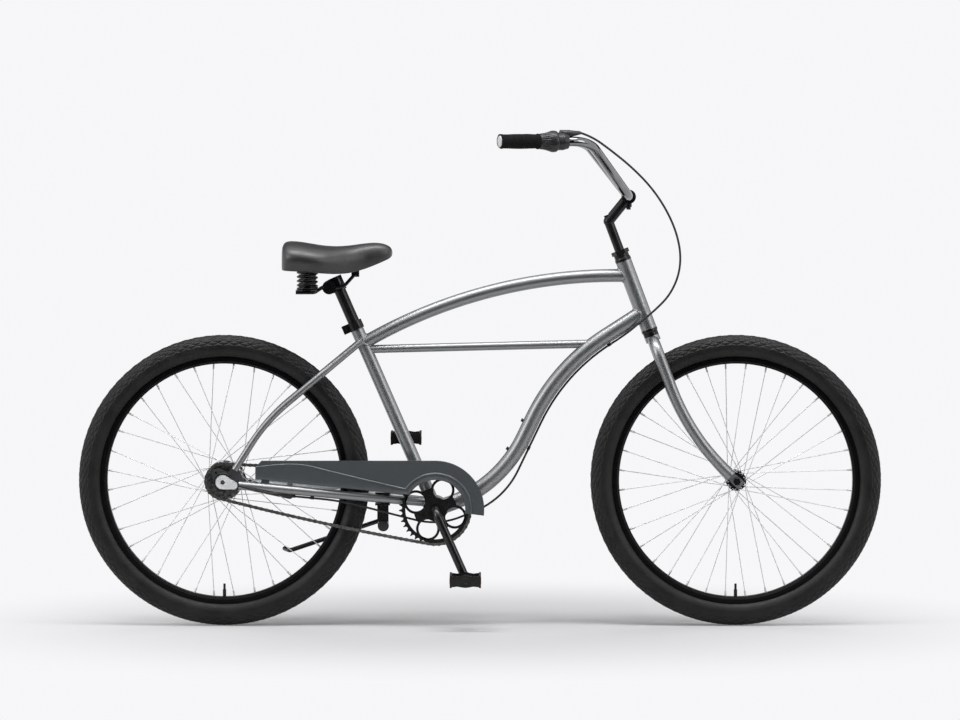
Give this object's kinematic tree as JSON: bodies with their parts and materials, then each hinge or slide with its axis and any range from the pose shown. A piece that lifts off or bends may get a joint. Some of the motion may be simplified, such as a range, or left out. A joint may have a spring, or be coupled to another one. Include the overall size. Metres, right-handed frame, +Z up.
{
  "type": "beach cruiser bicycle",
  "caption": "Cruiser bicycle with a curved frame, wide tyres, swept handlebar, twist shifter, sprung saddle, chain guard and kickstand.",
  "frame": {"origin": "on the ground, midway between the two axles on the bicycle's middle plane", "axes": "+X forward, +Y to the rider's left, +Z up"},
  "size_m": [1.8589, 0.7028, 1.1473],
  "materials": {
    "frame_paint": "gloss metallic",
    "dark_plate": "satin",
    "guard_paint": "satin",
    "tyre_rubber": "matt",
    "tube_rubber": "matt",
    "black_alloy": "satin black anodised",
    "spoke_steel": "bright",
    "hub_steel": "satin",
    "chain_steel": "oiled",
    "black_steel": "satin",
    "spindle_steel": "satin",
    "pedal_plastic": "matt",
    "bar_chrome": "mirror",
    "grip_rubber": "matt",
    "shift_plastic": "gloss",
    "cable_sheath": "satin",
    "pan_plastic": "matt",
    "saddle_vinyl": "grained"
  },
  "bodies": {
    "frame": {"head_tube": "frame_paint", "seat_tube": "frame_paint", "bottom_bracket_shell": "frame_paint", "top_tube": "frame_paint", "down_tube": "frame_paint", "crossbar": "frame_paint", "right_dropout": "dark_plate", "left_dropout": "dark_plate", "right_chainstay": "frame_paint", "left_chainstay": "frame_paint", "right_seatstay": "frame_paint", "left_seatstay": "frame_paint", "bottom_bracket_cups": "black_steel", "headset_cups": "black_alloy", "rear_axle": "hub_steel", "gear_selector": "shift_plastic", "coaster_brake_arm": "dark_plate", "chain_guard": "guard_paint", "seat_collar": "black_alloy", "kickstand_bracket": "dark_plate", "shift_cable_lower": "cable_sheath", "frame_fittings": "black_steel", "chain": "chain_steel"},
    "steering": {"headset_races": "black_alloy", "fork_steerer": "frame_paint", "fork_crown": "frame_paint", "right_fork_leg": "frame_paint", "left_fork_leg": "frame_paint", "front_axle": "hub_steel", "stem": "black_alloy", "stem_bolts": "black_steel", "handlebar": "bar_chrome", "right_grip": "grip_rubber", "left_grip": "grip_rubber", "shifter_housing": "shift_plastic", "shift_cable_upper": "cable_sheath"},
    "twist_shifter": {"shifter_twist_grip": "grip_rubber"},
    "front_wheel": {"front_tyre": "tyre_rubber", "front_inner_tube": "tube_rubber", "front_rim": "black_alloy", "front_spokes": "spoke_steel", "front_hub": "black_alloy"},
    "rear_wheel": {"rear_tyre": "tyre_rubber", "rear_inner_tube": "tube_rubber", "rear_rim": "black_alloy", "rear_spokes": "spoke_steel", "rear_hub": "hub_steel"},
    "driver": {"rear_sprocket": "chain_steel"},
    "crankset": {"chain_ring": "black_steel", "crank_arms": "black_steel", "pedal_spindles": "spindle_steel"},
    "right_pedal_body": {"right_pedal": "pedal_plastic"},
    "left_pedal_body": {"left_pedal": "pedal_plastic"},
    "saddle_carrier": {"seat_post": "black_alloy", "saddle_clamp": "black_steel", "saddle_rails": "black_steel", "saddle_springs": "black_steel"},
    "saddle_top": {"saddle_pan": "pan_plastic", "saddle_cushion": "saddle_vinyl"},
    "kickstand": {"kickstand_leg": "black_steel"}
  },
  "joints": [
    {"name": "steer", "type": "hinge", "parent": "frame", "child": "steering", "pos_m": [0.33189, 0, 0.84468], "axis": [-0.3518, 0, 0.9361], "range_deg": [-60, 60], "deforming": ["shift_cable_upper"]},
    {"name": "front_wheel_spin", "type": "hinge", "parent": "steering", "child": "front_wheel", "pos_m": [0.5925, 0, 0.33712], "axis": [0, 1, 0], "continuous": true},
    {"name": "rear_wheel_spin", "type": "hinge", "parent": "frame", "child": "rear_wheel", "pos_m": [-0.5925, 0, 0.33712], "axis": [0, 1, 0], "continuous": true},
    {"name": "crank_turn", "type": "hinge", "parent": "frame", "child": "crankset", "pos_m": [-0.10323, 0, 0.27212], "axis": [0, 1, 0], "continuous": true, "deforming": ["chain"]},
    {"name": "driver_turn", "type": "hinge", "parent": "frame", "child": "driver", "pos_m": [-0.5925, 0, 0.33712], "axis": [0, 1, 0], "continuous": true, "deforming": ["chain"]},
    {"name": "right_pedal_spin", "type": "hinge", "parent": "crankset", "child": "right_pedal_body", "pos_m": [-0.03354, -0.084, 0.11706], "axis": [0, 1, 0], "continuous": true},
    {"name": "left_pedal_spin", "type": "hinge", "parent": "crankset", "child": "left_pedal_body", "pos_m": [-0.17292, 0.084, 0.42718], "axis": [0, 1, 0], "continuous": true},
    {"name": "saddle_height", "type": "slide", "parent": "frame", "child": "saddle_carrier", "axis": [-0.4008, 0, 0.9162], "range_m": [-0.06, 0.08]},
    {"name": "saddle_rock", "type": "hinge", "parent": "saddle_carrier", "child": "saddle_top", "pos_m": [-0.28832, 0, 0.81515], "axis": [0, 1, 0], "range_deg": [-4, 0], "stiffness_Nm_per_rad": 500, "deforming": ["saddle_springs"]},
    {"name": "kickstand_swing", "type": "hinge", "parent": "frame", "child": "kickstand", "pos_m": [-0.22523, 0.046, 0.24012], "axis": [-0.0228, 0.9682, 0.249], "range_deg": [-76.77, 0]},
    {"name": "shifter_twist", "type": "hinge", "parent": "steering", "child": "twist_shifter", "pos_m": [0.13289, -0.30655, 1.12141], "axis": [0.9477, 0.319, 0], "range_deg": [-50, 50]}
  ],
  "couplings": [
    {"joint": "driver_turn", "follows": "crank_turn", "ratio": 2}
  ]
}
